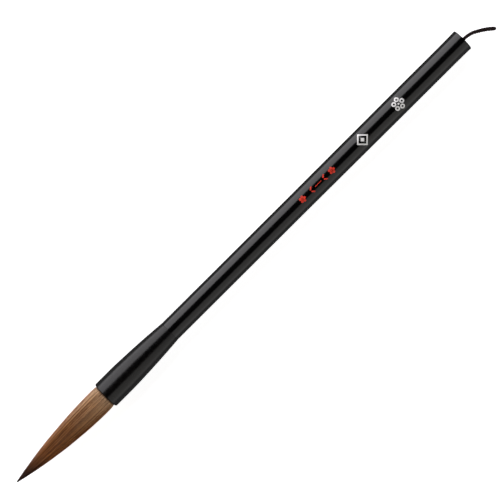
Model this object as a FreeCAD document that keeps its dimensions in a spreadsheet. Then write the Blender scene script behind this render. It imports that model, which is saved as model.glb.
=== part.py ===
import FreeCAD, Part
import math
import os
import Sketcher

# A calligraphy brush: a lacquered wooden handle, a flared ferrule, a layered tuft of hair that
# bends at the ferrule's mouth, and a cord loop that swings at the handle's end.
# The brush lies along X on the plane Z = 0, with its tip towards -X. Sizes are in millimetres.

DRIVING_SIZES = {
    # the whole brush
    "overallLength": 250.0,  # tip of the hair to the end of the handle
    "hairLength": 49.4,  # hair that stands out of the ferrule
    "ferruleLength": 36.2,
    # tuft: it is widest, and bends, a little outside the ferrule's mouth
    "bendDistance": 2.6,
    "tuftRadius": 5.15,
    "tipRadius": 0.15,
    "liningRadius": 3.9,
    "liningTipRadius": 1.75,
    "liningTipStation": 20.0,
    "coreRadius": 2.6,
    "coreTipStation": 3.5,
    "coreTipRoom": 0.5,  # left in front of the core's tip
    "layerGap": 0.05,
    "bendGap": 0.08,
    "seatAngle": 53.0,  # from the axis, where the root's hollow ends
    # ferrule
    "ferruleRadius": 6.0,
    "bandLength": 10.0,  # the straight stretch behind the mouth
    "ferruleWaist": 5.47,  # radius half way along the taper
    "ferruleEndRadius": 4.56,
    "lipRadius": 0.6,
    "seamChamfer": 0.12,
    "hairBoreRadius": 5.25,
    "hairBoreDepth": 14.0,
    # hair root, its thread and its resin
    "rootGap": 0.03,
    "resinThickness": 1.5,
    "threadRadius": 0.32,
    "threadPitch": 0.58,
    "threadInset": 0.7,  # depth of the groove that the thread pulls into the root
    "threadGap": 0.03,
    # handle
    "tenonRadius": 2.8,
    "tenonLength": 15.0,
    "tenonGap": 0.02,
    "tenonEndGap": 0.5,
    "shaftRadius": 4.54,
    "taperStation": 157.0,
    "shaftTopRadius": 4.68,
    "taperEndStation": 215.0,
    "flareLength": 9.0,
    "flareRadius": 4.82,
    "rimRadius": 0.3,
    # plug, knot and cord
    "plugBoreRadius": 3.2,
    "plugBoreDepth": 13.0,
    "plugLength": 5.0,
    "plugGap": 0.02,
    "cordHoleRadius": 1.65,
    "cordHoleChamfer": 0.3,
    "knotRadius": 2.3,
    "knotEndRadius": 1.5,
    "knotLength": 5.6,
    "knotGap": 0.1,  # between the knot and the plug that it pulls against
    "cordRadius": 0.7,
    "tailRadius": 0.65,
    "strandOffset": 0.8,  # each strand of the loop, above and below the axis
    # engraved ornaments
    "engravingDepth": 0.18,
    "paintRecess": 0.03,
    "strokeWidth": 0.6,
    "blossomStation": 213.5,
    "blossomRing": 1.85,
    "blossomPetal": 1.0,
    "blossomHeart": 0.45,
    "fretStation": 193.4,
    "fretSide": 4.3,
    "fretHeart": 1.43,
    "sprayStation": 160.0,
    "sprayEndStation": 176.2,
    "sprayRing": 0.95,
    "sprayPetal": 0.58,
    "sprayHeart": 0.29,
    "leafStation": 165.2,
    "leafEndStation": 172.2,
    "leafLength": 1.6,
    "leafOffset": 0.8,
    "leafTurn": 40.0,  # from the axis, away from the blossoms' stem
    "dashStation": 168.7,
    "dashLength": 3.4,
    "dashWidth": 0.35,
    "cutterHeight": 10.0,  # from the axis to clear above the handle
    "cutterRise": 0.5,  # of the engraving tool above the handle's surface
    "skinMargin": 8.0,  # of handle worked on beyond the outer ornaments
}

# The cord's centre line outside the plug: out along the upper strand, round the fold at the
# loop's end, and back along the lower one.
LOOP_ROUTE = [
    (125.75, 0.0, 6.8),
    (129.2, -0.45, 6.75),
    (132.8, -2.35, 6.3),
    (135.5, -4.1, 5.75),
    (137.45, -5.8, 5.1),
    (137.45, -5.8, 1.9),
    (135.2, -3.95, 2.0),
    (132.6, -2.3, 2.8),
    (129.2, -0.5, 4.35),
    (125.75, 0.0, 5.2),
]
RUN_SHARE = 0.45  # of the shorter run, taken by each arc on it
PETALS = 5
THREAD_TURNS = 5

doc = FreeCAD.newDocument("calligraphy_brush")
sheet = doc.addObject("Spreadsheet::Sheet", "sizes")
for row, (alias, number) in enumerate(DRIVING_SIZES.items(), start=1):
    sheet.set(f"A{row}", alias)
    sheet.set(f"B{row}", str(number))
    sheet.setAlias(f"B{row}", alias)
doc.recompute()

# Stations along the axis, from the hair's tip.
END = "sizes.overallLength"
MOUTH = "sizes.hairLength"
SEAM = f"({MOUTH} + sizes.ferruleLength)"
BEND = f"({MOUTH} - sizes.bendDistance)"
SOCKET_END = f"({MOUTH} + sizes.hairBoreDepth)"
ROOT_END = f"({SOCKET_END} - sizes.resinThickness)"
SEAT_RADIUS = "(sizes.tuftRadius + sizes.bendGap)"
SEAT_EDGE = f"({BEND} + {SEAT_RADIUS} * cos(sizes.seatAngle))"
ROOT_RADIUS = "(sizes.hairBoreRadius - sizes.rootGap)"
PLUG_START = f"({END} - sizes.plugLength)"


def number(expression):
    """What an expression on the sheet is worth now, as a plain number."""
    value = sheet.evalExpression(expression)
    return float(getattr(value, "Value", value))


def lay_on_axis(thing, station="0", side="0", height="0"):
    """Place something on the brush's axis at a station, or off to a side or above it."""
    thing.setExpression("Placement.Base.x", f"{station} - sizes.overallLength / 2")
    thing.setExpression("Placement.Base.y", side)
    thing.setExpression("Placement.Base.z", f"sizes.ferruleRadius + {height}")
    return thing


def own_plane(body, role):
    return next(f for f in body.Origin.OriginFeatures if f.Role == role)


def attached_sketch(body, name, role):
    sketch = body.newObject("Sketcher::SketchObject", name)
    sketch.AttachmentSupport = (own_plane(body, role), [""])
    sketch.MapMode = "FlatFace"
    return sketch


def bind(sketch, constraint, expression):
    sketch.setExpression(f"Constraints[{constraint}]", expression)


def hold_point(sketch, edge, end, station, radius):
    """Keep one point of a sketch's edge at a station and a radius, both expressions."""
    for way, expression, axis in (("DistanceX", station, -2), ("DistanceY", radius, -1)):
        if expression == "0":
            sketch.addConstraint(Sketcher.Constraint("PointOnObject", edge, end, axis))
            continue
        held = Sketcher.Constraint(way, -1, 1, edge, end, number(expression))
        bind(sketch, sketch.addConstraint(held), expression)


def draw_arc(sketch, start, end, radius, side):
    """The short arc between two points; side is 1 to bulge to the left of the way, or -1."""
    chord = end - start
    left = FreeCAD.Vector(-chord.y, chord.x, 0).normalize()
    rise = number(radius) - math.sqrt(number(radius) ** 2 - (chord.Length / 2) ** 2)
    edge = sketch.addGeometry(Part.Arc(start, (start + end) / 2 + left * rise * side, end), False)
    sized = sketch.addConstraint(Sketcher.Constraint("Radius", edge, number(radius)))
    bind(sketch, sized, radius)
    # arcs in a sketch always run anticlockwise
    return (edge, 2, 1) if side > 0 else (edge, 1, 2)


def draw_curve(sketch, start, end, station, radius):
    """A parabola between two points, drawn towards a pole where its ends' tangents meet."""
    pole = FreeCAD.Vector(number(station), number(radius), 0)
    curve = Part.BSplineCurve([start, pole, end], None, None, False, 2, None, False)
    edge = sketch.addGeometry(curve, False)
    sketch.exposeInternalGeometry(edge)
    hold_point(sketch, edge + 2, 3, station, radius)
    return edge, 1, 2


def draw_outline(sketch, corners):
    """Close an outline from corners, each a station, a radius and the edge that leaves it.

    The edge is None for a straight line, or a drawing function with its own expressions.
    """
    places = [FreeCAD.Vector(number(station), number(radius), 0) for station, radius, _ in corners]
    edges = []
    for index, (_, _, bent) in enumerate(corners):
        start, end = places[index], places[(index + 1) % len(places)]
        if bent:
            draw, *expressions = bent
            edges.append(draw(sketch, start, end, *expressions))
        else:
            edges.append((sketch.addGeometry(Part.LineSegment(start, end), False), 1, 2))
    for index, (edge, first, last) in enumerate(edges):
        following, following_first, _ = edges[(index + 1) % len(edges)]
        joint = Sketcher.Constraint("Coincident", edge, last, following, following_first)
        sketch.addConstraint(joint)
        hold_point(sketch, edge, first, *corners[index][:2])


def turned(name, outline, bores=()):
    """A body turned about the brush's axis from one outline, then bored along others."""
    body = doc.addObject("PartDesign::Body", name)
    for index, corners in enumerate([outline, *bores]):
        sketch = attached_sketch(body, f"{name}Outline{index}", "XY_Plane")
        draw_outline(sketch, corners)
        kind = "PartDesign::Groove" if index else "PartDesign::Revolution"
        turn = body.newObject(kind, f"{name}Turn{index}")
        turn.Profile = sketch
        turn.ReferenceAxis = (sketch, ["H_Axis"])
        turn.Angle = 360
        sketch.Visibility = False
        doc.recompute()
    return lay_on_axis(body)


def dress_edges(body, kind, name, size, expression, chosen):
    """Round or bevel the body's circular edges at the chosen (station, radius) places."""
    base, names = body.Tip, []
    for index, edge in enumerate(base.Shape.Edges, start=1):
        if not isinstance(edge.Curve, Part.Circle):
            continue
        place = (edge.Curve.Center.x, edge.Curve.Radius)
        if any(math.dist(place, (number(s), number(r))) < 1e-4 for s, r in chosen):
            names.append(f"Edge{index}")
    dress = body.newObject(kind, name)
    dress.Base = (base, names)
    dress.setExpression(size, expression)
    doc.recompute()
    return dress


def named(thing, label):
    thing.Label = label
    return thing


def joined(name, pieces):
    fuse = doc.addObject("Part::MultiFuse", name)
    fuse.Shapes = pieces
    return fuse


# --- tuft -----------------------------------------------------------------------------------


def hair_layer(radius, tip_radius, tip_station):
    """A layer's outline, which is flat where the tuft bends and falls as a parabola to its tip.

    Gives its radius at a station, and the edge between two stations.
    """
    fall = f"(({radius} - {tip_radius}) / ({BEND} - {tip_station}) ^ 2)"

    def radius_at(station):
        return f"({radius} - {fall} * ({BEND} - {station}) ^ 2)"

    def between(one, other):
        pole_radius = f"({radius} - {fall} * ({BEND} - {one}) * ({BEND} - {other}))"
        return draw_curve, f"(({one} + {other}) / 2)", pole_radius

    return radius_at, between


def wider(radius):
    return f"({radius} + sizes.layerGap)"


def ball_station(radius):
    """Where the ball that the tuft turns on has this radius about the axis."""
    return f"({BEND} + sqrt(sizes.tuftRadius ^ 2 - {radius} ^ 2))"


BALL = (draw_arc, "sizes.tuftRadius", 1)
CORE_TIP = "sizes.coreTipStation"
LINING_TIP = "sizes.liningTipStation"
CORE_ROOM = f"({CORE_TIP} - sizes.coreTipRoom)"


def make_core():
    _, between = hair_layer("sizes.coreRadius", "0", CORE_TIP)
    outline = [
        (CORE_TIP, "0", between(CORE_TIP, BEND)),
        (BEND, "sizes.coreRadius", None),
        (ball_station("sizes.coreRadius"), "sizes.coreRadius", BALL),
        (f"({BEND} + sizes.tuftRadius)", "0", None),
    ]
    return named(turned("coreHair", outline), "core_hair")


def make_lining():
    _, outer_between = hair_layer("sizes.liningRadius", "sizes.liningTipRadius", LINING_TIP)
    inside = wider("sizes.coreRadius")
    inner_at, inner_between = hair_layer(inside, "0", CORE_ROOM)
    outline = [
        (LINING_TIP, inner_at(LINING_TIP), None),
        (LINING_TIP, "sizes.liningTipRadius", outer_between(LINING_TIP, BEND)),
        (BEND, "sizes.liningRadius", None),
        (ball_station("sizes.liningRadius"), "sizes.liningRadius", BALL),
        (ball_station(inside), inside, None),
        (BEND, inside, inner_between(BEND, LINING_TIP)),
    ]
    return named(turned("liningHair", outline), "lining_hair")


def make_cover():
    _, outer_between = hair_layer("sizes.tuftRadius", "sizes.tipRadius", "0")
    inside = wider("sizes.liningRadius")
    step = "(sizes.liningTipStation - sizes.layerGap)"
    _, lining_between = hair_layer(inside, wider("sizes.liningTipRadius"), step)
    core_at, core_between = hair_layer(wider("sizes.coreRadius"), "0", CORE_ROOM)
    outline = [
        ("0", "0", None),
        ("0", "sizes.tipRadius", outer_between("0", BEND)),
        (BEND, "sizes.tuftRadius", BALL),
        (ball_station(inside), inside, None),
        (BEND, inside, lining_between(BEND, step)),
        (step, wider("sizes.liningTipRadius"), None),
        (step, core_at(step), core_between(step, CORE_ROOM)),
        (CORE_ROOM, "0", None),
    ]
    return named(turned("coverHair", outline), "cover_hair")


# --- ferrule and what it holds ----------------------------------------------------------------

TAPER_START = f"({MOUTH} + sizes.bandLength)"


def make_ferrule():
    pole = "(2 * sizes.ferruleWaist - (sizes.ferruleRadius + sizes.ferruleEndRadius) / 2)"
    taper = (draw_curve, f"(({TAPER_START} + {SEAM}) / 2)", pole)
    blank = [
        (MOUTH, "0", None),
        (MOUTH, "sizes.ferruleRadius", None),
        (TAPER_START, "sizes.ferruleRadius", taper),
        (SEAM, "sizes.ferruleEndRadius", None),
        (SEAM, "0", None),
    ]
    hair_bore = [
        (MOUTH, "0", None),
        (MOUTH, "sizes.hairBoreRadius", None),
        (SOCKET_END, "sizes.hairBoreRadius", None),
        (SOCKET_END, "0", None),
    ]
    tenon_end = f"({SEAM} - sizes.tenonLength - sizes.tenonEndGap)"
    tenon_bore = [
        (tenon_end, "0", None),
        (tenon_end, "sizes.tenonRadius", None),
        (SEAM, "sizes.tenonRadius", None),
        (SEAM, "0", None),
    ]
    body = turned("ferruleBody", blank, [hair_bore, tenon_bore])
    mouth_rim = [(MOUTH, "sizes.ferruleRadius")]
    dress_edges(body, "PartDesign::Fillet", "mouthRound", "Radius", "sizes.lipRadius", mouth_rim)
    seam_rim = [(SEAM, "sizes.ferruleEndRadius")]
    dress_edges(body, "PartDesign::Chamfer", "seamBevel", "Size", "sizes.seamChamfer", seam_rim)
    return named(body, "ferrule")


THREAD_MIDDLE = f"(({SEAT_EDGE} + {ROOT_END}) / 2)"
THREAD_FLOOR = f"({ROOT_RADIUS} - sizes.threadInset)"


def make_root():
    half = f"({THREAD_TURNS / 2} * sizes.threadPitch + sizes.threadGap)"
    groove_start, groove_end = f"({THREAD_MIDDLE} - {half})", f"({THREAD_MIDDLE} + {half})"
    seat_rim = f"({SEAT_RADIUS} * sin(sizes.seatAngle))"
    outline = [
        (f"({BEND} + {SEAT_RADIUS})", "0", (draw_arc, SEAT_RADIUS, -1)),
        (SEAT_EDGE, seat_rim, None),
        (SEAT_EDGE, ROOT_RADIUS, None),
        (groove_start, ROOT_RADIUS, None),
        (groove_start, THREAD_FLOOR, None),
        (groove_end, THREAD_FLOOR, None),
        (groove_end, ROOT_RADIUS, None),
        (ROOT_END, ROOT_RADIUS, None),
        (ROOT_END, "0", None),
    ]
    return named(turned("hairRoot", outline), "hair_root")


def make_thread():
    """The thread's wraps lie side by side, so its outside is a row of rounds."""
    floor = f"({THREAD_FLOOR} + sizes.threadGap)"
    crease = f"({floor} + sizes.threadRadius)"
    wrap = (draw_arc, "sizes.threadRadius", 1)
    stations = [
        f"({THREAD_MIDDLE} + {turn - THREAD_TURNS / 2} * sizes.threadPitch)"
        for turn in range(THREAD_TURNS + 1)
    ]
    outline = [(station, crease, wrap) for station in stations[:-1]]
    outline.append((stations[-1], crease, None))
    outline.append((stations[-1], floor, None))
    outline.append((stations[0], floor, None))
    return named(turned("rootThread", outline), "root_thread")


def make_resin():
    outline = [
        (ROOT_END, "0", None),
        (ROOT_END, ROOT_RADIUS, None),
        (SOCKET_END, ROOT_RADIUS, None),
        (SOCKET_END, "0", None),
    ]
    return named(turned("rootResin", outline), "root_resin")


# --- handle -----------------------------------------------------------------------------------

FLARE_START = f"({END} - sizes.flareLength)"


def make_shaft_body():
    flare = (draw_curve, f"({END} - sizes.flareLength / 2)", "sizes.shaftTopRadius")
    tenon = "(sizes.tenonRadius - sizes.tenonGap)"
    blank = [
        (f"({SEAM} - sizes.tenonLength)", "0", None),
        (f"({SEAM} - sizes.tenonLength)", tenon, None),
        (SEAM, tenon, None),
        (SEAM, "sizes.shaftRadius", None),
        ("sizes.taperStation", "sizes.shaftRadius", None),
        ("sizes.taperEndStation", "sizes.shaftTopRadius", None),
        (FLARE_START, "sizes.shaftTopRadius", flare),
        (END, "sizes.flareRadius", None),
        (END, "0", None),
    ]
    bore_end = f"({END} - sizes.plugBoreDepth)"
    plug_bore = [
        (bore_end, "0", None),
        (bore_end, "sizes.plugBoreRadius", None),
        (END, "sizes.plugBoreRadius", None),
        (END, "0", None),
    ]
    body = turned("shaftBody", blank, [plug_bore])
    end_rim = [(END, "sizes.flareRadius")]
    dress_edges(body, "PartDesign::Fillet", "endRound", "Radius", "sizes.rimRadius", end_rim)
    seam_rim = [(SEAM, "sizes.shaftRadius"), (f"({SEAM} - sizes.tenonLength)", tenon)]
    dress_edges(body, "PartDesign::Chamfer", "shaftBevel", "Size", "sizes.seamChamfer", seam_rim)
    return body


def shaft_skin(name, inner, outer):
    """The layer of the shaft round the ornaments, between two heights above its surface."""
    lower, upper = "sizes.shaftRadius", "sizes.shaftTopRadius"
    surface = [
        ("(sizes.sprayStation - sizes.skinMargin)", lower),
        ("sizes.taperStation", lower),
        ("sizes.taperEndStation", upper),
        ("(sizes.blossomStation + sizes.skinMargin)", upper),
    ]
    over = [(station, f"({radius} + {outer})", None) for station, radius in surface]
    under = [(station, f"({radius} + {inner})", None) for station, radius in reversed(surface)]
    return turned(name, over + under)


def post(name, radius, station, side="0"):
    cylinder = doc.addObject("Part::Cylinder", name)
    cylinder.setExpression("Radius", radius)
    cylinder.setExpression("Height", "sizes.cutterHeight")
    return lay_on_axis(cylinder, station, side)


def block(name, length, width, station, side="0", turn="0"):
    """A bar with its middle at the station, turned about the vertical by an angle in degrees."""
    box = doc.addObject("Part::Box", name)
    box.setExpression("Length", length)
    box.setExpression("Width", width)
    box.setExpression("Height", "sizes.cutterHeight")
    spin = FreeCAD.Rotation(FreeCAD.Vector(0, 0, 1), number(turn))
    box.Placement.Rotation = spin
    across = f"(({length}) * cos({turn}) - ({width}) * sin({turn})) / 2"
    along = f"(({length}) * sin({turn}) + ({width}) * cos({turn})) / 2"
    return lay_on_axis(box, f"{station} - {across}", f"{side} - {along}")


def ring(name, radius, station, side="0"):
    hole = post(f"{name}Hole", f"{radius} - sizes.strokeWidth", station, side)
    rim = post(f"{name}Rim", radius, station, side)
    cut = doc.addObject("Part::Cut", name)
    cut.Base, cut.Tool = rim, hole
    return cut


def petals(name, make, radius, circle, station):
    """One petal for each fifth of a turn round a station."""
    made = []
    for petal in range(PETALS):
        turn = 360 * petal / PETALS
        along = f"{station} + {circle} * cos({turn})"
        made.append(make(f"{name}{petal}", radius, along, f"{circle} * sin({turn})"))
    return made


def blossom_posts():
    station = "sizes.blossomStation"
    rings = petals("blossom", ring, "sizes.blossomPetal", "sizes.blossomRing", station)
    return [*rings, post("blossomHeart", "sizes.blossomHeart", station)]


def fret_posts():
    """A lozenge frame round a smaller lozenge."""
    station, side, heart_side = "sizes.fretStation", "sizes.fretSide", "sizes.fretHeart"
    outer = block("fretOuter", side, side, station, turn="45")
    inner_side = f"({side} - 2 * sizes.strokeWidth)"
    inner = block("fretInner", inner_side, inner_side, station, turn="45")
    frame = doc.addObject("Part::Cut", "fretFrame")
    frame.Base, frame.Tool = outer, inner
    return [frame, block("fretHeart", heart_side, heart_side, station, turn="45")]


def spray_posts():
    """Two small blossoms with a pair of leaves beside each, and a stem between the leaves."""
    made = []
    for index, station in enumerate(("sizes.sprayStation", "sizes.sprayEndStation")):
        made += petals(f"spray{index}", post, "sizes.sprayPetal", "sizes.sprayRing", station)
        made.append(post(f"spray{index}Heart", "sizes.sprayHeart", station))
    for index, station in enumerate(("sizes.leafStation", "sizes.leafEndStation")):
        for way in (-1, 1):
            name = f"leaf{index}{'under' if way < 0 else 'over'}"
            side, turn = f"{way} * sizes.leafOffset", f"({way} * sizes.leafTurn)"
            leaf = block(name, "sizes.leafLength", "sizes.strokeWidth", station, side, turn)
            made.append(leaf)
    made.append(block("dash", "sizes.dashLength", "sizes.dashWidth", "sizes.dashStation"))
    return made


def common(name, base, tool):
    cut = doc.addObject("Part::Common", name)
    cut.Base, cut.Tool = base, tool
    return cut


def make_shaft_and_inlays():
    groups = {
        "white_blossom_inlay": joined("blossomPosts", blossom_posts()),
        "white_fret_inlay": joined("fretPosts", fret_posts()),
        "red_spray_inlay": joined("sprayPosts", spray_posts()),
    }
    fill_skin = shaft_skin("fillSkin", "-sizes.engravingDepth", "-sizes.paintRecess")
    cut_skin = shaft_skin("cutSkin", "-sizes.engravingDepth", "sizes.cutterRise")
    inlays = []
    for label, posts in groups.items():
        inlays.append(named(common(f"{label}Fill", posts, fill_skin), label))
    engraving = common("engraving", joined("allPosts", list(groups.values())), cut_skin)
    shaft = doc.addObject("Part::Cut", "engravedShaft")
    shaft.Base, shaft.Tool = make_shaft_body(), engraving
    return [named(shaft, "shaft"), *inlays]


# --- plug, knot and loop ------------------------------------------------------------------------


def make_plug():
    body = doc.addObject("PartDesign::Body", "plugBody")
    for kind, name, radius in (
        ("PartDesign::Pad", "plugPad", "sizes.plugBoreRadius - sizes.plugGap"),
        ("PartDesign::Pocket", "cordHole", "sizes.cordHoleRadius"),
    ):
        sketch = attached_sketch(body, f"{name}Circle", "YZ_Plane")
        circle = Part.Circle(FreeCAD.Vector(), FreeCAD.Vector(0, 0, 1), number(radius))
        edge = sketch.addGeometry(circle, False)
        sketch.addConstraint(Sketcher.Constraint("Coincident", edge, 3, -1, 1))
        sized = sketch.addConstraint(Sketcher.Constraint("Radius", edge, number(radius)))
        bind(sketch, sized, radius)
        feature = body.newObject(kind, name)
        feature.Profile = sketch
        feature.setExpression("Length", "sizes.plugLength")
        if kind == "PartDesign::Pocket":
            feature.Reversed = True
        sketch.Visibility = False
        doc.recompute()
    hole_rim = [("sizes.plugLength", "sizes.cordHoleRadius")]
    size = "sizes.cordHoleChamfer"
    dress_edges(body, "PartDesign::Chamfer", "holeBevel", "Size", size, hole_rim)
    return named(lay_on_axis(body, PLUG_START), "end_plug")


def make_knot():
    """The knot that holds the cord behind the plug, with its two tails through the hole."""
    knot_end = f"({PLUG_START} - sizes.knotGap)"
    knot_start = f"({knot_end} - sizes.knotLength)"
    middle = f"(({knot_start} + {knot_end}) / 2)"
    swell = (draw_curve, middle, "(2 * sizes.knotRadius - sizes.knotEndRadius)")
    barrel = [
        (knot_start, "0", None),
        (knot_start, "sizes.knotEndRadius", swell),
        (knot_end, "sizes.knotEndRadius", None),
        (knot_end, "0", None),
    ]
    pieces = [turned("knotBarrel", barrel)]
    for way in (-1, 1):
        tail = doc.addObject("Part::Cylinder", f"tail{'Under' if way < 0 else 'Over'}")
        tail.setExpression("Radius", "sizes.tailRadius")
        tail.setExpression("Height", f"{END} - {middle}")
        tail.Placement.Rotation = FreeCAD.Rotation(FreeCAD.Vector(0, 1, 0), 90)
        pieces.append(lay_on_axis(tail, middle, height=f"{way} * sizes.strandOffset"))
    return named(joined("knotAndTails", pieces), "loop_knot")


def rounded_path(points):
    """Straight runs joined by tangent arcs, with each arc's radius."""
    path, radii = [], []
    here = points[0]
    for before, corner, after in zip(points, points[1:], points[2:]):
        back, ahead = before - corner, after - corner
        turn = math.pi - back.getAngle(ahead)
        reach = RUN_SHARE * min(back.Length, ahead.Length)
        radii.append(reach / math.tan(turn / 2))
        back.normalize()
        ahead.normalize()
        first, last = corner + back * reach, corner + ahead * reach
        inward = (back + ahead).normalize()
        depth = radii[-1] / math.cos(turn / 2) - radii[-1]
        path.append(Part.LineSegment(here, first).toShape())
        path.append(Part.Arc(first, corner + inward * depth, last).toShape())
        here = last
    path.append(Part.LineSegment(here, points[-1]).toShape())
    return Part.Wire(path), radii


def make_loop():
    radius = number("sizes.cordRadius")
    points = [FreeCAD.Vector(*place) for place in LOOP_ROUTE]
    wire, radii = rounded_path(points)
    heading = (points[1] - points[0]).normalize()
    section = Part.Wire(Part.makeCircle(radius, points[0], heading))
    tube = wire.makePipeShell([section], True, False)
    ratio = tube.Volume / (math.pi * radius**2 * wire.Length)
    print("loop length", round(wire.Length, 2), "volume over section x length", round(ratio, 4))
    print("loop arc radii", [round(value, 2) for value in radii])
    ends = [Part.makeSphere(radius, points[0]), Part.makeSphere(radius, points[-1])]
    loop = doc.addObject("Part::Feature", "loopTube")
    loop.Shape = tube.multiFuse(ends).removeSplitter()
    return named(loop, "hanging_loop")


sub_parts = [
    make_core(),
    make_lining(),
    make_cover(),
    make_ferrule(),
    make_root(),
    make_thread(),
    make_resin(),
    *make_shaft_and_inlays(),
    make_plug(),
    make_knot(),
    make_loop(),
]
doc.recompute()

failed = [o.Label for o in doc.Objects if {"Invalid", "Error"} & set(o.State)]
failed += [p.Label for p in sub_parts if p.Shape.isNull() or not p.Shape.isValid()]
if failed:
    raise SystemExit(f"not built: {failed}")

os.makedirs("parts", exist_ok=True)
for part in sub_parts:
    shape = part.Shape
    shape.exportStep(f"parts/{part.Label}.step")
    box = shape.BoundBox
    low = [round(v, 3) for v in (box.XMin, box.YMin, box.ZMin)]
    high = [round(v, 3) for v in (box.XMax, box.YMax, box.ZMax)]
    print(part.Label, len(shape.Solids), "solids", round(shape.Volume, 2), "mm3", low, high)
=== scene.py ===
import bpy
import math
import random
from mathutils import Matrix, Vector, noise


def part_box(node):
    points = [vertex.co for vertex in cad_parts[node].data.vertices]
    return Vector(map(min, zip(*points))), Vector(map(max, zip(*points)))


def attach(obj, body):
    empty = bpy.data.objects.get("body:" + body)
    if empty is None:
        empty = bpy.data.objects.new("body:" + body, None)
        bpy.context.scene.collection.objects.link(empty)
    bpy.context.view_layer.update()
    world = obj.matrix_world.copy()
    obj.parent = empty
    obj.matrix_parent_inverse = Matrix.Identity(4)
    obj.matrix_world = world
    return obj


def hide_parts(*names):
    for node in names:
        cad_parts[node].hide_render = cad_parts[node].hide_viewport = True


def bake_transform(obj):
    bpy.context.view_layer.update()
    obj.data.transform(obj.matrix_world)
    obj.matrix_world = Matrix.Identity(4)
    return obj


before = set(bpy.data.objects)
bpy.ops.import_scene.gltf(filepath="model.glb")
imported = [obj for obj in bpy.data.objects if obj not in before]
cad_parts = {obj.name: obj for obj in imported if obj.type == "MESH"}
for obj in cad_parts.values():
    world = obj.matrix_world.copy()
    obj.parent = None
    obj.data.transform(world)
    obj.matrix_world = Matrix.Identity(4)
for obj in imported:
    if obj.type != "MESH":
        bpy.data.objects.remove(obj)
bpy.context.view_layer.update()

# The brush lies along X with its tip towards -X. Everything is in metres.
ferruleLow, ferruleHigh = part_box("ferrule")
shaftLow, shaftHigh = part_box("shaft")
plugLow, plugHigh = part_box("end_plug")
mouthX = ferruleLow.x
seamX = ferruleHigh.x
endX = shaftHigh.x
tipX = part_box("cover_hair")[0].x
axisHeight = (ferruleLow.z + ferruleHigh.z) / 2
smoothAngle = math.radians(32)
ringTolerance = 0.00001
weldDistance = 0.000001


# --- stage, lights and camera ---

stageSpec = {
    "floorSize": 6.0,
    "floorColour": (0.86, 0.86, 0.87),
    "floorGlow": 0.8,
    "cameraAim": Vector((0.0060, 0.00045, 0.006)),
    "cameraDistance": 1.02,
    "cameraTurn": math.radians(-44.88),
    "lens": 184.6,
    "sensor": 36.0,
}

# Each panel stands along the brush: its angle from straight up, its spread and how bright it is.
panelSpecs = {
    "keyPanel": {"tilt": 64.0, "spread": 68.0, "distance": 0.9, "length": 2.2, "brightness": 2.4,
                 "colour": (0.985, 0.965, 1.0)},
    "fillPanel": {"tilt": -58.0, "spread": 68.0, "distance": 0.9, "length": 2.2, "brightness": 0.72,
                  "colour": (1.0, 0.98, 0.94)},
}

# Grey of the surroundings by height, from 0 straight down to 1 straight up. makeWorld darkens it towards
# both ends of the brush.
worldStops = [(0.0, 0.12), (0.25, 0.18), (0.45, 0.34), (0.52, 0.40), (0.64, 0.2), (0.86, 0.0)]


def makeCamera():
    data = bpy.data.cameras.new("camera")
    data.lens = stageSpec["lens"]
    data.sensor_width = stageSpec["sensor"]
    camera = bpy.data.objects.new("camera", data)
    camera.location = stageSpec["cameraAim"] + Vector((0, 0, stageSpec["cameraDistance"]))
    camera.rotation_euler = (0, 0, stageSpec["cameraTurn"])
    bpy.context.scene.collection.objects.link(camera)
    bpy.context.scene.camera = camera


def makePanel(name, spec):
    width = 2 * spec["distance"] * math.tan(math.radians(spec["spread"] / 2))
    data = bpy.data.lights.new(name, "AREA")
    data.shape = "RECTANGLE"
    data.size = spec["length"]
    data.size_y = width
    data.energy = spec["brightness"] * math.pi * spec["length"] * width
    data.color = spec["colour"]
    panel = bpy.data.objects.new(name, data)
    tilt = math.radians(spec["tilt"])
    away = Vector((0, math.sin(tilt), math.cos(tilt)))
    panel.location = Vector((0, 0, axisHeight)) + away * spec["distance"]
    panel.rotation_euler = (-tilt, 0, 0)
    panel.visible_camera = False
    bpy.context.scene.collection.objects.link(panel)


def makeWorld():
    world = bpy.data.worlds.new("studio")
    bpy.context.scene.world = world
    world.use_nodes = True
    sky = Shading(world.node_tree, "Background")
    place = sky.node("ShaderNodeTexCoord", output="Generated")
    height = sky.node("ShaderNodeSeparateXYZ", None, {0: place}, output="Z")
    along = sky.node("ShaderNodeSeparateXYZ", None, {0: place}, output="X")
    greys = [(where, (grey, grey, grey)) for where, grey in worldStops]
    sky.wear(Color=sky.ramp(sky.between(height, -1, 1), greys), Strength=1 - along * along)


def setStops(ramp, stops):
    while len(ramp.elements) > 1:
        ramp.elements.remove(ramp.elements[-1])
    for index, (where, colour) in enumerate(stops):
        stop = ramp.elements[0] if index == 0 else ramp.elements.new(where)
        stop.position = where
        stop.color = colour


# --- finishes ---


class Signal:  # a socket that can be added, multiplied and so on
    def __init__(self, shading, socket):
        self.shading = shading
        self.socket = socket

    def calculate(self, operation, first, second):
        return self.shading.node("ShaderNodeMath", {"operation": operation}, {0: first, 1: second})

    def __add__(self, other):
        return self.calculate("ADD", self, other)

    __radd__ = __add__

    def __sub__(self, other):
        return self.calculate("SUBTRACT", self, other)

    def __rsub__(self, other):
        return self.calculate("SUBTRACT", other, self)

    def __mul__(self, other):
        return self.calculate("MULTIPLY", self, other)

    __rmul__ = __mul__


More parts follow.
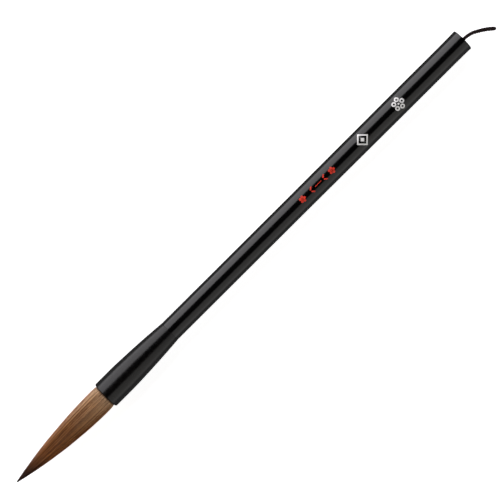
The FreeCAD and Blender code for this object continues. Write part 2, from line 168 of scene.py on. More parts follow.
class Shading:  # a shader and the nodes that feed it
    def __init__(self, tree, shaderName):
        self.tree = tree
        self.shader = tree.nodes[shaderName]

    def feed(self, socket, value):
        if isinstance(value, Signal):
            self.tree.links.new(value.socket, socket)
        else:
            socket.default_value = value

    def node(self, kind, settings=None, sockets=None, output=0):
        made = self.tree.nodes.new(kind)
        for name, value in (settings or {}).items():
            if name == "stops":
                setStops(made.color_ramp, value)
            else:
                setattr(made, name, value)
        for key, value in (sockets or {}).items():
            self.feed(made.inputs[key], value)
        return Signal(self, made.outputs[output])

    def place(self, scale=(1, 1, 1)):
        own = self.node("ShaderNodeTexCoord", output="Object")
        return self.stretched(own, scale)

    def stretched(self, place, scale):
        return self.node("ShaderNodeMapping", None, {"Vector": place, "Scale": scale})

    def attribute(self, name, output="Vector"):
        return self.node("ShaderNodeAttribute", {"attribute_name": name}, output=output)

    def clouds(self, place, scale, detail=2.0, rough=0.5):
        sockets = {"Vector": place, "Scale": scale, "Detail": detail, "Roughness": rough}
        return self.node("ShaderNodeTexNoise", None, sockets)

    def between(self, signal, low, high, least=0.0, most=1.0):
        sockets = {"Value": signal, "From Min": low, "From Max": high, "To Min": least, "To Max": most}
        return self.node("ShaderNodeMapRange", None, sockets)

    def ramp(self, share, stops):
        return self.node("ShaderNodeValToRGB", {"stops": [(at, (*c, 1)) for at, c in stops]}, {0: share})

    def mix(self, share, first, second):
        sockets = {0: share, 6: withAlpha(first), 7: withAlpha(second)}
        return self.node("ShaderNodeMix", {"data_type": "RGBA"}, sockets, output=2)

    def wear(self, **inputs):
        for name, value in inputs.items():
            self.feed(self.shader.inputs[name.replace("_", " ")], value)

    def bump(self, height, depth, strength=1.0):
        sockets = {"Height": height, "Distance": depth, "Strength": strength}
        self.wear(Normal=self.node("ShaderNodeBump", None, sockets, output="Normal"))


class Finish(Shading):  # one material, whose constant values are set by socket name
    def __init__(self, name, **constants):
        self.material = bpy.data.materials.new(name)
        self.material.use_nodes = True
        super().__init__(self.material.node_tree, "Principled BSDF")
        self.wear(**constants)


def withAlpha(colour):
    return colour if isinstance(colour, Signal) else (*colour, 1.0)


def lacquerFinish():
    f = Finish("blackLacquer", Specular_IOR_Level=0.5, IOR=1.5)
    grain = f.clouds(f.place((40, 900, 900)), 1.0, 3.0)  # long pores of the wood under the lacquer
    haze = f.clouds(f.place(), 90.0, 3.0)  # handling marks
    scratches = f.between(f.clouds(f.place((60, 4000, 4000)), 1.0, 1.0), 0.66, 0.72)
    flecks = f.between(f.clouds(f.place(), 2600.0, 1.0), 0.7, 0.78)
    f.wear(
        Base_Color=f.mix(grain * 0.5, (0.0006, 0.0006, 0.0008), (0.0026, 0.0022, 0.0021)),
        Roughness=f.between(haze, 0.3, 0.7, 0.13, 0.2) + scratches * 0.07 + flecks * 0.05,
    )
    f.bump(grain * 0.7 + haze * 0.6, 0.00003, 0.35)
    return f.material


def hornFinish():
    f = Finish("blackHorn", Specular_IOR_Level=0.36, IOR=1.54)
    layers = f.clouds(f.place((25, 500, 500)), 1.0, 4.0, 0.6)  # the horn's grown layers
    turning = f.clouds(f.place((5200, 60, 60)), 1.0, 1.0)  # fine rings left by turning
    mottle = f.clouds(f.place(), 700.0, 3.0)
    f.wear(
        Base_Color=f.mix(f.between(layers, 0.45, 0.75), (0.0007, 0.0006, 0.0008), (0.0040, 0.0029, 0.0025)),
        Roughness=f.between(mottle, 0.3, 0.7, 0.18, 0.26) + turning * 0.04,
    )
    f.bump(turning * 0.35 + mottle * 0.8, 0.00003, 0.4)
    return f.material


# Colours along the hair, from the tip to the ferrule, for the dark and the light hairs. The last stop of
# each is painted shade: it darkens the hair where it goes into the ferrule's mouth.
hairColoursWithMouthShade = {
    "dark": [
        (0.0, (0.008, 0.002, 0.001)), (0.10, (0.018, 0.005, 0.002)), (0.20, (0.042, 0.011, 0.003)),
        (0.34, (0.055, 0.014, 0.003)), (0.62, (0.070, 0.020, 0.005)), (0.88, (0.120, 0.040, 0.013)),
        (0.985, (0.140, 0.055, 0.021)), (1.0, (0.018, 0.008, 0.004)),
    ],
    "light": [
        (0.0, (0.026, 0.008, 0.004)), (0.10, (0.070, 0.021, 0.009)), (0.20, (0.200, 0.070, 0.020)),
        (0.34, (0.430, 0.160, 0.040)), (0.62, (0.460, 0.205, 0.070)), (0.88, (0.660, 0.400, 0.205)),
        (0.985, (0.740, 0.490, 0.285)), (1.0, (0.110, 0.060, 0.030)),
    ],
}


def hairFinish():
    f = Finish("brownHair", Specular_IOR_Level=0.28, IOR=1.5)
    place = f.attribute("hairPlace")
    along = f.node("ShaderNodeSeparateXYZ", None, {0: place}, output="X")
    depth = f.attribute("hairToneAndCreaseShade", "Fac")
    broad = f.between(f.clouds(f.stretched(place, (0.5, 3, 3)), 1.0, 1.0), 0.36, 0.64)
    locks = f.between(f.clouds(f.stretched(place, (0.6, 8, 8)), 1.0, 1.0), 0.4, 0.6)
    streaks = f.between(f.clouds(f.stretched(place, (1.0, 21, 21)), 1.0, 2.0, 0.6), 0.38, 0.62)
    threads = f.between(f.clouds(f.stretched(place, (2.5, 80, 80)), 1.0, 2.0, 0.6), 0.32, 0.68)
    # depth is painted shade on the tuft: darker colour in its creases, lighter on its ridge tops; on the
    # surface hairs it is each hair's own random tone
    mixed = broad * 0.14 + locks * 0.36 + streaks * 0.34 + threads * 0.16 + depth * 0.3
    share = f.between(mixed, 0.36, 0.96)
    f.wear(
        Base_Color=f.mix(share, f.ramp(along, hairColoursWithMouthShade["dark"]), f.ramp(along, hairColoursWithMouthShade["light"])),
        Roughness=f.between(threads, 0.0, 1.0, 0.55, 0.36),
    )
    f.bump(threads * 0.6 + streaks * 0.4, 0.00006, 0.5)
    return f.material


def rootHairFinish():
    f = Finish("rootHair", Specular_IOR_Level=0.3)
    hairs = f.between(f.clouds(f.place((60, 3000, 3000)), 1.0, 3.0, 0.6), 0.32, 0.68)
    f.wear(
        Base_Color=f.mix(hairs, (0.09, 0.045, 0.02), (0.34, 0.21, 0.12)),
        Roughness=f.between(hairs, 0.0, 1.0, 0.75, 0.5),
    )
    f.bump(hairs, 0.00006, 0.6)
    return f.material


def threadFinish():
    f = Finish("hempThread", Roughness=0.8)
    twist = f.node("ShaderNodeTexWave", {"bands_direction": "DIAGONAL"},
                   {"Vector": f.place(), "Scale": 900.0, "Distortion": 2.0})
    fuzz = f.clouds(f.place(), 2500.0, 3.0)
    f.wear(
        Base_Color=f.mix(twist * 0.6 + fuzz * 0.4, (0.30, 0.22, 0.13), (0.58, 0.47, 0.31)),
        Roughness=f.between(fuzz, 0.3, 0.7, 0.65, 0.85),
    )
    f.bump(twist * 0.7 + fuzz * 0.5, 0.00008, 0.7)
    return f.material


def resinFinish():
    f = Finish("amberResin", IOR=1.54, Subsurface_Weight=0.15, Subsurface_Scale=0.002)
    flow = f.clouds(f.place(), 380.0, 4.0)
    bubbles = f.between(f.clouds(f.place(), 1900.0, 1.0), 0.66, 0.74)
    f.wear(
        Base_Color=f.mix(f.between(flow, 0.3, 0.7), (0.16, 0.055, 0.012), (0.42, 0.19, 0.045)),
        Roughness=f.between(flow, 0.3, 0.7, 0.12, 0.3) + bubbles * 0.15,
    )
    f.bump(flow + bubbles * 0.5, 0.00005, 0.5)
    return f.material


def paintFinish(name, thin, full):
    f = Finish(name, Specular_IOR_Level=0.5)
    strokes = f.clouds(f.place((500, 2600, 2600)), 1.0, 3.0)  # the brush that laid the paint
    chips = f.between(f.clouds(f.place(), 3400.0, 2.0), 0.63, 0.72)
    f.wear(
        Base_Color=f.mix(f.between(strokes, 0.3, 0.62) * (1 - chips * 0.55), thin, full),
        Roughness=f.between(strokes, 0.3, 0.7, 0.38, 0.55) + chips * 0.2,
    )
    f.bump(strokes - chips * 0.8, 0.00004, 0.6)
    return f.material


def cordFinish():
    f = Finish("darkCord", Specular_IOR_Level=0.3)
    place = f.attribute("yarnPlace")
    fibres = f.between(f.clouds(f.stretched(place, (0.5, 6, 6)), 1.0, 2.0, 0.6), 0.3, 0.7)
    fade = f.clouds(f.place(), 260.0, 2.0)
    f.wear(
        Base_Color=f.mix(fibres * 0.7 + fade * 0.3, (0.003, 0.0008, 0.0008), (0.022, 0.0045, 0.0040)),
        Roughness=f.between(fibres, 0.0, 1.0, 0.85, 0.6),
    )
    f.bump(fibres, 0.00008, 0.8)
    return f.material


def floorFinish():
    f = Finish("paleFloor", Roughness=0.9, Emission_Strength=stageSpec["floorGlow"],
               Emission_Color=(1, 1, 1, 1))
    f.wear(Base_Color=withAlpha(stageSpec["floorColour"]))
    return f.material


# --- modelling tools ---


def leaveEditing():
    if bpy.context.object and bpy.context.object.mode != "OBJECT":
        bpy.ops.object.mode_set(mode="OBJECT")


def clearSelection():
    leaveEditing()
    bpy.ops.object.select_all(action="DESELECT")


def selectOnly(piece):
    clearSelection()
    piece.select_set(True)
    bpy.context.view_layer.objects.active = piece


def editPiece(piece, mode="EDGE"):
    selectOnly(piece)
    bpy.ops.object.mode_set(mode="EDIT")
    bpy.ops.mesh.select_mode(type=mode)


def selectRings(piece, rings):
    # the round edges at each (x, radius)
    editPiece(piece)
    bpy.ops.mesh.select_all(action="DESELECT")
    bpy.ops.object.mode_set(mode="OBJECT")
    points = piece.data.vertices
    for edge in piece.data.edges:
        ends = [points[i].co for i in edge.vertices]
        for x, radius in rings:
            at = [math.hypot(p.y, p.z - axisHeight) for p in ends]
            if all(max(abs(p.x - x), abs(r - radius)) < ringTolerance for p, r in zip(ends, at)):
                edge.select = True
    bpy.ops.object.mode_set(mode="EDIT")


def turnPiece(name, rings, sides, closed=False):
    # a ring drawn out along X through the others; the ends are closed, or joined into one wall
    clearSelection()
    x, radius = rings[0]
    turn = (0, math.pi / 2, 0)
    centre = (x, 0, axisHeight)
    bpy.ops.mesh.primitive_circle_add(vertices=sides, radius=radius, location=centre, rotation=turn)
    piece = bpy.context.object
    piece.name = piece.data.name = name
    bpy.ops.object.transform_apply(location=True, rotation=True, scale=True)
    editPiece(piece)
    bpy.ops.mesh.select_all(action="SELECT")
    if not closed:
        bpy.ops.mesh.edge_face_add()
    for nextX, nextRadius in rings[1:]:
        bpy.ops.mesh.extrude_region_move(TRANSFORM_OT_translate={"value": (nextX - x, 0, 0)})
        share = nextRadius / radius
        bpy.ops.transform.resize(value=(1, share, share), center_override=(nextX, 0, axisHeight))
        x, radius = nextX, nextRadius
    bpy.ops.mesh.select_all(action="SELECT")
    bpy.ops.mesh.remove_doubles(threshold=weldDistance)
    bpy.ops.mesh.normals_make_consistent(inside=False)
    leaveEditing()
    return piece


def bevelRings(piece, rings, width, steps):
    selectRings(piece, rings)
    bpy.ops.mesh.bevel(offset=width, segments=steps, affect="EDGES")
    leaveEditing()


def applyModifier(piece, modifier):
    selectOnly(piece)
    bpy.ops.object.modifier_apply(modifier=modifier.name)


def smoothPiece(piece):
    selectOnly(piece)
    bpy.ops.object.shade_smooth_by_angle(angle=smoothAngle)


def evenNormals(piece):
    # large faces keep their own direction beside narrow bevels and cuts
    even = piece.modifiers.new("evenNormals", "WEIGHTED_NORMAL")
    even.mode = "FACE_AREA"
    even.keep_sharp = True
    applyModifier(piece, even)


def dress(piece, material):
    piece.data.materials.clear()
    piece.data.materials.append(material)
    return piece


def evenly(start, end, steps):
    return [start + (end - start) * i / steps for i in range(steps + 1)]


# --- ferrule, shaft and plug ---

ferruleSpec = {
    "bandLength": 0.010,
    "waistRadius": 0.00547,
    "endRadius": 0.00456,
    "lipRadius": 0.0006,
    "boreLip": 0.0001,
    "hairBoreRadius": 0.00525,
    "hairBoreDepth": 0.014,
    "tenonBoreRadius": 0.0028,
    "tenonBoreDepth": 0.0155,
    "bandRings": 4,
    "taperRings": 22,
    "lipSteps": 8,
    "boreLipSteps": 3,
    "sides": 144,
}

shaftSpec = {
    "radius": 0.00454,
    "taperStart": 0.032,
    "topRadius": 0.00468,
    "taperEnd": 0.090,
    "flareLength": 0.009,
    "flareRadius": 0.00482,
    "rimRadius": 0.0003,
    "tenonRadius": 0.00278,
    "boreRadius": 0.0032,
    "boreDepth": 0.013,
    "plainRings": 12,
    "ornamentRings": 46,
    "ornamentMargin": 0.004,
    "beyondRings": 4,
    "flareRings": 6,
    "rimSteps": 6,
    "sides": 144,
}

plugSpec = {
    "holeRadius": 0.00165,
    "holeBevel": 0.0003,
    "holeSteps": 4,
    "rimBevel": 0.00008,
    "rimSteps": 3,
    "sides": 96,
}

engravingSpec = {
    "depth": 0.00018,
    "paintRecess": 0.00003,
    "cutterRise": 0.0005,
    "cutterWeld": 0.0000005,
}

seamBevel = 0.00012
seamSteps = 2


def curvedRings(start, end, poleRadius, steps):
    # radii along a parabola whose ends point at a pole half way
    (x0, r0), (x1, r1) = start, end
    rings = []
    for t in evenly(0, 1, steps):
        radius = (1 - t) ** 2 * r0 + 2 * t * (1 - t) * poleRadius + t ** 2 * r1
        rings.append((x0 + (x1 - x0) * t, radius))
    return rings


def makeFerrule():
    s = ferruleSpec
    outside = (ferruleHigh.z - ferruleLow.z) / 2
    pole = 2 * s["waistRadius"] - (outside + s["endRadius"]) / 2
    boreEnd = mouthX + s["hairBoreDepth"]
    tenonEnd = seamX - s["tenonBoreDepth"]
    bandEnd = mouthX + s["bandLength"]
    rings = [(boreEnd, s["hairBoreRadius"]), (mouthX, s["hairBoreRadius"]), (mouthX, outside)]
    rings += [(x, outside) for x in evenly(mouthX, bandEnd, s["bandRings"])[1:-1]]
    rings += curvedRings((bandEnd, outside), (seamX, s["endRadius"]), pole, s["taperRings"])
    rings += [(seamX, s["tenonBoreRadius"]), (tenonEnd, s["tenonBoreRadius"])]
    ferrule = turnPiece("ferruleTurned", rings, s["sides"])
    bevelRings(ferrule, [(mouthX, outside)], s["lipRadius"], s["lipSteps"])
    bevelRings(ferrule, [(mouthX, s["hairBoreRadius"])], s["boreLip"], s["boreLipSteps"])
    bevelRings(ferrule, [(seamX, s["endRadius"])], seamBevel, seamSteps)
    smoothPiece(ferrule)
    evenNormals(ferrule)
    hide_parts("ferrule")
    return ferrule


def shaftRadius(x):
    s = shaftSpec
    share = (x - s["taperStart"]) / (s["taperEnd"] - s["taperStart"])
    return s["radius"] + (s["topRadius"] - s["radius"]) * max(0.0, min(1.0, share))


def engrave(shaft, inlayNames):
    # each cutter is the inlay's own shape, drawn up through the surface
    s = engravingSpec
    middleDepth = (s["depth"] + s["paintRecess"]) / 2
    for name in inlayNames:
        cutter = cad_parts[name].copy()
        cutter.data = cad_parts[name].data.copy()
        cutter.parent = None
        bpy.context.scene.collection.objects.link(cutter)
        editPiece(cutter, "VERT")
        bpy.ops.mesh.select_all(action="SELECT")
        bpy.ops.mesh.remove_doubles(threshold=s["cutterWeld"])
        bpy.ops.mesh.normals_make_consistent(inside=False)
        leaveEditing()
        bpy.ops.mesh.customdata_custom_splitnormals_clear()
        for point in cutter.data.vertices:
            away = math.hypot(point.co.y, point.co.z - axisHeight)
            if away > shaftRadius(point.co.x) - middleDepth:
                point.co.z += s["cutterRise"]
        cut = shaft.modifiers.new("engraving", "BOOLEAN")
        cut.operation = "DIFFERENCE"
        cut.solver = "EXACT"
        cut.object = cutter
        applyModifier(shaft, cut)
        bpy.data.objects.remove(cutter)


def makeShaft():
    s = shaftSpec
    flareX = endX - s["flareLength"]
    boreEnd = endX - s["boreDepth"]
    rings = [(shaftLow.x, s["tenonRadius"]), (seamX, s["tenonRadius"]), (seamX, s["radius"])]
    plain = evenly(seamX, s["taperStart"], s["plainRings"])[1:-1]
    ornamented = evenly(s["taperStart"], s["taperEnd"] + s["ornamentMargin"], s["ornamentRings"])
    beyond = evenly(ornamented[-1], flareX, s["beyondRings"])[1:-1]
    rings += [(x, shaftRadius(x)) for x in plain + ornamented + beyond]
    flare = ((flareX, s["topRadius"]), (endX, s["flareRadius"]))
    rings += curvedRings(*flare, s["topRadius"], s["flareRings"])
    rings += [(endX, s["boreRadius"]), (boreEnd, s["boreRadius"])]
    shaft = turnPiece("shaftTurned", rings, s["sides"])
    bevelRings(shaft, [(seamX, s["radius"]), (shaftLow.x, s["tenonRadius"])], seamBevel, seamSteps)
    bevelRings(shaft, [(endX, s["flareRadius"])], s["rimRadius"], s["rimSteps"])
    engrave(shaft, ["white_blossom_inlay", "white_fret_inlay", "red_spray_inlay"])
    smoothPiece(shaft)
    evenNormals(shaft)
    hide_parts("shaft")
    return shaft


def makePlug():
    s = plugSpec
    outside = (plugHigh.z - plugLow.z) / 2
    hole = s["holeRadius"]
    rings = [(plugLow.x, hole), (plugLow.x, outside), (endX, outside), (endX, hole), (plugLow.x, hole)]
    plug = turnPiece("endPlugTurned", rings, s["sides"], closed=True)
    bevelRings(plug, [(endX, hole)], s["holeBevel"], s["holeSteps"])
    bevelRings(plug, [(endX, outside)], s["rimBevel"], s["rimSteps"])
    smoothPiece(plug)
    evenNormals(plug)
    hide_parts("end_plug")
    return plug


# --- hair ---

hairSpec = {
    "radius": 0.00524,
    "tipRadius": 0.00014,
    "bendX": mouthX - 0.0026,
    "pinch": 0.00042,  # how much the hair narrows into the mouth
    "bow": 0.00045,  # how far the tip leans to one side
    "rootX": mouthX + 0.0007,
    "outerRings": 104,
    "innerRings": (16, 10),  # round the lining, and round the core beyond it
    "tipCrowding": 1.25,  # how much closer the rings stand towards the tip
    "sides": 560,
    "layerGap": 0.0001,
    "coreTipGap": 0.0004,
    "bendFromX": mouthX + 0.003,  # where the tuft would bend; bendWithTuft reads these ends but bends nothing
    "bendToX": mouthX - 0.013,
}

ridgeSpec = {
    "bands": [(20, 0.000130), (58, 0.000110), (170, 0.000060)],  # clumps, locks and hairs round the tuft
    "finest": 0.00010,
    "fadeRoom": 0.8,  # in widths of the finest ridge, below which a ridge is gone
    "drift": 0.25,
    "driftAround": 1.5,
    "driftAlong": 25,  # per metre
    "changeAlong": 40,  # per metre
    "steepness": 2.6,
    "middle": 0.75,  # the share of a ridge's height that lies on the tuft's plain surface
    "lowestShare": 0.3,  # of the radius, below which no crease reaches
}

layerSpecs = {
    "lining": {"radius": 0.0039, "tipRadius": 0.00175, "tipX": 0.020, "rings": 40, "sides": 160},
    "core": {"radius": 0.0026, "tipRadius": 0.00004, "tipX": 0.0035, "rings": 48, "sides": 120},
}

strandSpec = {
    "count": 1300,
    "straying": 16,
    "rootWidth": 0.000060,
    "endWidth": 0.000010,
    "widest": 0.35,  # of the tuft's radius, near its tip
    "rootInset": 0.0002,
    "shortening": 0.62,  # how much of its length a hair may lack
    "shorteningPower": 1.6,
    "longest": 0.995,
    "jitter": 0.02,
    "wander": 0.05,
    "waveSize": 0.012,
    "waves": 7,
    "ridgeShare": 0.5,
    "lift": 0.00001,
    "strayLift": 0.00028,
    "tones": (0.0, 0.5, 0.8, 1.5),
    "toneJitter": 0.1,
    "toneShift": 0.06,
    "rings": 13,
    "seed": 7,
}


# the neutral level of the hair's painted crease shade, used where there is no ridge
plainCreaseShade = 0.5  # between a crease and a ridge's top
outerShare = 0.97  # of the outside radius, beyond which a point is on the outside


def layerRadius(x, radius, tipRadius, layerTipX):
    # widest where the tuft bends, and falling as a parabola to the tip
    spec = hairSpec
    if x > spec["bendX"]:
        return radius - spec["pinch"] * ((x - spec["bendX"]) / (spec["rootX"] - spec["bendX"])) ** 2
    share = (spec["bendX"] - x) / (spec["bendX"] - layerTipX)
    return radius - (radius - tipRadius) * min(share, 1.0) ** 2


def coverRadius(x):
    return layerRadius(x, hairSpec["radius"], hairSpec["tipRadius"], tipX)


def bowAt(x):
    share = max(0.0, (hairSpec["bendX"] - x) / (hairSpec["bendX"] - tipX))
    return hairSpec["bow"] * (share ** 2)


def ridgeHeight(angle, x, radius):
    # rounded ridges with sharp creases between; the finer ones fade out where there is no room. The second
    # value, how high on its ridge a point lies, becomes painted shade in the creases and painted lighter
    # ridge tops in the hair's colour.
    spec = ridgeSpec
    around, along = spec["driftAround"], spec["driftAlong"]
    drifting = Vector((math.cos(angle) * around, math.sin(angle) * around, x * along))
    drift = spec["drift"] * noise.noise(drifting)
    height, share = 0.0, 0.0
    for count, depth in spec["bands"]:
        room = 2 * math.pi * radius / count / spec["finest"] - spec["fadeRoom"]
        weight = depth * max(0.0, min(1.0, room))
        size = count / math.pi
        turned = angle + drift / math.sqrt(count)
        further = x * spec["changeAlong"] + count
        where = Vector((math.cos(turned) * size, math.sin(turned) * size, further))
        rise = min(1.0, abs(noise.noise(where)) * spec["steepness"])
        height += weight * (rise - spec["middle"])
        share += weight
    return height, (height / share + spec["middle"]) if share else plainCreaseShade


def hairAttributes(piece, places, tonesAndCreaseShades):
    placed = piece.data.attributes.new("hairPlace", "FLOAT_VECTOR", "POINT")
    placed.data.foreach_set("vector", [value for place in places for value in place])
    toneAndCreaseShadeAttribute = piece.data.attributes.new("hairToneAndCreaseShade", "FLOAT", "POINT")
    toneAndCreaseShadeAttribute.data.foreach_set("value", tonesAndCreaseShades)


def alongHair(x):
    return (x - tipX) / (mouthX - tipX)


def dressHair(piece, outside, ridged):
    # moves each point out on its ridge, leans the tuft, and notes where on the hair each point is and how
    # high on its ridge it lies, which the hair's colour uses as painted crease shade
    places, tonesAndCreaseShades = [], []
    for point in piece.data.vertices:
        x, y, z = point.co.x, point.co.y, point.co.z - axisHeight
        radius, angle = math.hypot(y, z), math.atan2(z, y)
        depth = plainCreaseShade
        if ridged and radius > outerShare * outside(x) and x < hairSpec["rootX"] - ringTolerance:
            height, depth = ridgeHeight(angle, x, radius)
            radius = max(radius + height, ridgeSpec["lowestShare"] * radius)
        point.co.y = radius * math.cos(angle) + bowAt(x)
        point.co.z = radius * math.sin(angle) + axisHeight
        places.append((alongHair(x), math.cos(angle), math.sin(angle)))
        tonesAndCreaseShades.append(depth)
    hairAttributes(piece, places, tonesAndCreaseShades)


def outsideRings(startX, stopX, steps, radiusAt):
    # closer together towards the tip
    rings = []
    for t in evenly(0, 1, steps):
        x = startX + (stopX - startX) * (1 - (1 - t) ** hairSpec["tipCrowding"])
        rings.append((x, radiusAt(x)))
    return rings


def bendWithTuft(piece, *nodes):
    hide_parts(*nodes)
    start, end = (hairSpec["bendFromX"], 0, axisHeight), (hairSpec["bendToX"], 0, axisHeight)
    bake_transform(piece)
    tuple(start)
    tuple(end)


def makeCover(material):
    spec, gap = hairSpec, hairSpec["layerGap"]
    lining, core = layerSpecs["lining"], layerSpecs["core"]
    stepX = tipX + lining["tipX"] - gap
    coreTipX = tipX + core["tipX"] - spec["coreTipGap"]
    liningRings, coreRings = spec["innerRings"]

    def liningRoom(x):
        return layerRadius(x, lining["radius"], lining["tipRadius"], stepX) + gap

    def coreRoom(x):
        return layerRadius(x, core["radius"], core["tipRadius"], coreTipX) + gap / 2

    inside = outsideRings(spec["rootX"], stepX, liningRings, liningRoom)
    inside += outsideRings(stepX, coreTipX, coreRings, coreRoom)
    outside = outsideRings(spec["rootX"], tipX, spec["outerRings"], coverRadius)
    cover = turnPiece("coverHairTuft", inside[::-1] + outside, spec["sides"])
    dressHair(cover, coverRadius, True)
    smoothPiece(cover)
    bendWithTuft(cover, "cover_hair")
    return dress(cover, material)


def makeInnerLayer(name, key, material):
    spec = layerSpecs[key]
    layerTipX = tipX + spec["tipX"]

    def radiusAt(x):
        return layerRadius(x, spec["radius"], spec["tipRadius"], layerTipX)

    rings = outsideRings(hairSpec["rootX"], layerTipX, spec["rings"], radiusAt)
    layer = turnPiece(name, rings, spec["sides"])
    dressHair(layer, radiusAt, False)
    smoothPiece(layer)
    bendWithTuft(layer, f"{key}_hair")
    return dress(layer, material)


def oneStrand(rings):
    # a three-sided hair a unit long: each point's share along it, and its way across
    clearSelection()
    bpy.ops.mesh.primitive_cylinder_add(vertices=3, radius=1, depth=1, location=(0, 0, 0.5))
    hair = bpy.context.object
    bpy.ops.object.transform_apply(location=True, rotation=True, scale=True)
    editPiece(hair)
    bpy.ops.mesh.select_all(action="SELECT")
    for height in evenly(0, 1, rings - 1)[1:-1]:
        bpy.ops.mesh.bisect(plane_co=(0, 0, height), plane_no=(0, 0, 1))
        bpy.ops.mesh.select_all(action="SELECT")
    leaveEditing()
    points = [tuple(v.co) for v in hair.data.vertices]
    faces = [tuple(p.vertices) for p in hair.data.polygons]
    bpy.data.objects.remove(hair)
    return points, faces


def makeStrands(material):
    spec = strandSpec
    rng = random.Random(spec["seed"])
    shape, shapeFaces = oneStrand(spec["rings"])
    points, faces, places, tonesAndCreaseShades = [], [], [], []
    goldenAngle = math.pi * (3 - math.sqrt(5))
    startX = hairSpec["rootX"] - spec["rootInset"]
    for index in range(spec["count"]):
        angle = index * goldenAngle + rng.uniform(-spec["jitter"], spec["jitter"])
        stray = index % (spec["count"] // spec["straying"]) == 0
        reach = 1.0 if stray else 1 - spec["shortening"] * rng.random() ** spec["shorteningPower"]
        stopX = startX + (tipX - startX) * min(reach, spec["longest"])
        wander, wave = rng.gauss(0, spec["wander"]), rng.uniform(0, math.tau)
        lift = spec["strayLift"] * rng.uniform(0.5, 1) if stray else spec["lift"]
        tone = rng.choice(spec["tones"]) + rng.uniform(-spec["toneJitter"], spec["toneJitter"])
        own = 1 + spec["toneShift"] * tone
        first = len(points)
        for across, side, share in shape:
            x = startX + (stopX - startX) * share
            turn = angle + wander * share + spec["waveSize"] * math.sin(wave + share * spec["waves"])
            radius = coverRadius(x)
            radius += ridgeHeight(turn, x, radius)[0] * spec["ridgeShare"]
            radius += lift * (share ** 2 if stray else 1)
            width = spec["rootWidth"] + (spec["endWidth"] - spec["rootWidth"]) * share ** 2
            width = min(width, spec["widest"] * radius)
            outward, sideways = radius + across * width, side * width
            y = outward * math.cos(turn) - sideways * math.sin(turn) + bowAt(x)
            z = outward * math.sin(turn) + sideways * math.cos(turn) + axisHeight
            points.append((x, y, z))
            places.append((alongHair(x), math.cos(turn) * own, math.sin(turn) * own))
            tonesAndCreaseShades.append(tone)
        faces += [tuple(first + i for i in face) for face in shapeFaces]
    mesh = bpy.data.meshes.new("surfaceHairs")
    mesh.from_pydata(points, [], faces)
    hairs = bpy.data.objects.new("surfaceHairs", mesh)
    bpy.context.scene.collection.objects.link(hairs)
    hairAttributes(hairs, places, tonesAndCreaseShades)
    editPiece(hairs)
    bpy.ops.mesh.select_all(action="SELECT")
    bpy.ops.mesh.normals_make_consistent(inside=False)
    smoothPiece(hairs)
    bendWithTuft(hairs, "cover_hair")
    return dress(hairs, material)


# --- cord ---

# The cord's line: out of the knot, through the plug's hole, round the loop and back.
loopRoute = [
    (0.1172, 0.0, 0.0068), (0.1215, 0.0, 0.0068), (0.12575, 0.0, 0.0068), (0.1292, -0.00045, 0.00675),
    (0.1328, -0.00235, 0.0063), (0.1355, -0.0041, 0.00575), (0.13745, -0.0058, 0.0051),
    (0.13745, -0.0058, 0.0019), (0.1352, -0.00395, 0.0020), (0.1326, -0.0023, 0.0028),
    (0.1292, -0.0005, 0.00435), (0.12575, 0.0, 0.0052), (0.1215, 0.0, 0.0052), (0.1172, 0.0, 0.0052),
]

ropeSpec = {
    "diameter": 0.0014,
    "plies": 3,
    "plyRadius": 0.00034,
    "pitch": 0.0030,
    "plySides": 12,
    "pointsPerRun": 24,
    "fibreTurns": 900.0,  # per metre
    "exit": (0.1250, 0.0, 0.0068),
    "bendFromX": 0.1243,  # where the loop would bend as it swings; makeLoop reads these ends but bends nothing
    "bendToX": 0.1285,
}

knotSpec = {"middleX": 0.1152, "reach": 0.00072, "height": 0.00115, "steps": 96}


def smoothLine(points, perRun):
    # points down the middle of a smooth curve through the route
    data = bpy.data.curves.new("line", "CURVE")
    data.dimensions = "3D"
    data.resolution_u = perRun
    spline = data.splines.new("NURBS")
    spline.points.add(len(points) - 1)
    for point, place in zip(spline.points, points):
        point.co = (*place, 1)
    spline.order_u = 3
    spline.use_endpoint_u = True
    holder = bpy.data.objects.new("line", data)
    mesh = bpy.data.meshes.new_from_object(holder)
    line = [v.co.copy() for v in mesh.vertices]
    bpy.data.meshes.remove(mesh)
    bpy.data.objects.remove(holder)
    bpy.data.curves.remove(data)
    return line


def framesAlong(line, closed=False):
    # each point's direction and two ways across it, carried along without twisting
    frames = []
    side = Vector((0, 1, 0))
    for index, point in enumerate(line):
        before = line[index - 1] if index or closed else point
        after = line[(index + 1) % len(line)] if index + 1 < len(line) or closed else point
        along = (after - before).normalized()
        side = (side - along * side.dot(along)).normalized()
        frames.append((point, along, side, along.cross(side)))
    return frames


def tubeAlong(line, closed, points, faces, places):
    # adds one ply of the rope to the points and faces
    radius, sides, fibreTurns = ropeSpec["plyRadius"], ropeSpec["plySides"], ropeSpec["fibreTurns"]
    first, travelled = len(points), 0.0
    for index, (point, _, side, other) in enumerate(framesAlong(line, closed)):
        travelled += (point - line[index - 1]).length if index else 0.0
        for step in range(sides):
            angle = math.tau * step / sides
            points.append(point + (side * math.cos(angle) + other * math.sin(angle)) * radius)
            twist = angle + travelled * fibreTurns * math.tau
            places.append((travelled * 1000, math.cos(twist), math.sin(twist)))
    rows = len(line)
    for row in range(rows if closed else rows - 1):
        here, there = first + row * sides, first + (row + 1) % rows * sides
        for step in range(sides):
            after = (step + 1) % sides
            faces.append((here + step, here + after, there + after, there + step))
    if not closed:
        faces.append(tuple(first + step for step in reversed(range(sides))))
        faces.append(tuple(first + (rows - 1) * sides + step for step in range(sides)))


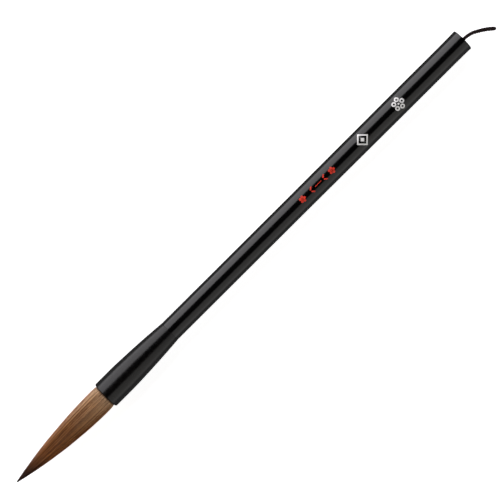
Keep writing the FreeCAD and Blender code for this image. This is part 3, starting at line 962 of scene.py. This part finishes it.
def makeRope(name, line, material, closed=False):
    spec = ropeSpec
    points, faces, places = [], [], []
    frames = framesAlong(line, closed)
    length = sum((b - a).length for a, b in zip(line, line[1:] + (line[:1] if closed else [])))
    turns = max(1, round(length / spec["pitch"]))
    offset = spec["diameter"] / 2 - spec["plyRadius"]
    for ply in range(spec["plies"]):
        travelled, path = 0.0, []
        for index, (point, _, side, other) in enumerate(frames):
            travelled += (point - line[index - 1]).length if index else 0.0
            angle = math.tau * (travelled / length * turns + ply / spec["plies"])
            path.append(point + (side * math.cos(angle) + other * math.sin(angle)) * offset)
        tubeAlong(path, closed, points, faces, places)
    mesh = bpy.data.meshes.new(name)
    mesh.from_pydata(points, [], faces)
    rope = bpy.data.objects.new(name, mesh)
    bpy.context.scene.collection.objects.link(rope)
    placed = mesh.attributes.new("yarnPlace", "FLOAT_VECTOR", "POINT")
    placed.data.foreach_set("vector", [value for place in places for value in place])
    editPiece(rope)
    bpy.ops.mesh.select_all(action="SELECT")
    bpy.ops.mesh.normals_make_consistent(inside=False)
    smoothPiece(rope)
    return dress(rope, material)


def makeLoop(material):
    line = smoothLine(loopRoute, ropeSpec["pointsPerRun"])
    length = sum((b - a).length for a, b in zip(line, line[1:]))
    loop = makeRope("loopCord", line, material)
    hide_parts("hanging_loop")
    start, end = (ropeSpec["bendFromX"], 0, axisHeight), (ropeSpec["bendToX"], 0, axisHeight)
    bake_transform(loop)
    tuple(start)
    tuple(end)
    [tuple(point) for point in line]
    print("loop cord", round(length * 1000, 1), "mm")


def makeKnot(material):
    # an overhand knot, drawn tight
    spec = knotSpec
    route = []
    for step in range(spec["steps"]):
        t = math.tau * step / spec["steps"]
        y = spec["reach"] * (math.sin(t) + 2 * math.sin(2 * t))
        z = spec["reach"] * (math.cos(t) - 2 * math.cos(2 * t)) + axisHeight
        route.append(Vector((spec["middleX"] - spec["height"] * math.sin(3 * t), y, z)))
    knot = makeRope("knotInCord", route, material, closed=True)
    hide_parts("loop_knot")
    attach(knot, "handle")


# --- putting it together ---

makeCamera()
makeWorld()
for panelName, panelSpec in panelSpecs.items():
    makePanel(panelName, panelSpec)
print("camera and lights ready")

cordMaterial = cordFinish()
makeLoop(cordMaterial)
makeKnot(cordMaterial)
print("cord ready")

horn = hornFinish()
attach(dress(makeFerrule(), horn), "handle")
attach(dress(makePlug(), horn), "handle")
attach(dress(makeShaft(), lacquerFinish()), "handle")
print("handle ready")

hairMaterial = hairFinish()
makeCover(hairMaterial)
makeInnerLayer("liningHairLayer", "lining", hairMaterial)
makeInnerLayer("coreHairLayer", "core", hairMaterial)
makeStrands(hairMaterial)
print("hair ready")

whitePaint = paintFinish("whitePaint", (0.72, 0.71, 0.69), (0.95, 0.95, 0.94))
nodeFinishes = {
    "hair_root": rootHairFinish(),
    "root_thread": threadFinish(),
    "root_resin": resinFinish(),
    "white_blossom_inlay": whitePaint,
    "white_fret_inlay": whitePaint,
    "red_spray_inlay": paintFinish("redPaint", (0.42, 0.018, 0.008), (0.90, 0.040, 0.012)),
}
for node, material in nodeFinishes.items():
    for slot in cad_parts[node].material_slots:
        slot.material = material
print("carried pieces finished")

clearSelection()
bpy.ops.mesh.primitive_plane_add(size=stageSpec["floorSize"])
floor = bpy.context.object
floor.name = "floor"
floor.visible_glossy = False
floor.data.materials.append(floorFinish())
bpy.context.scene.view_settings.view_transform = "Standard"
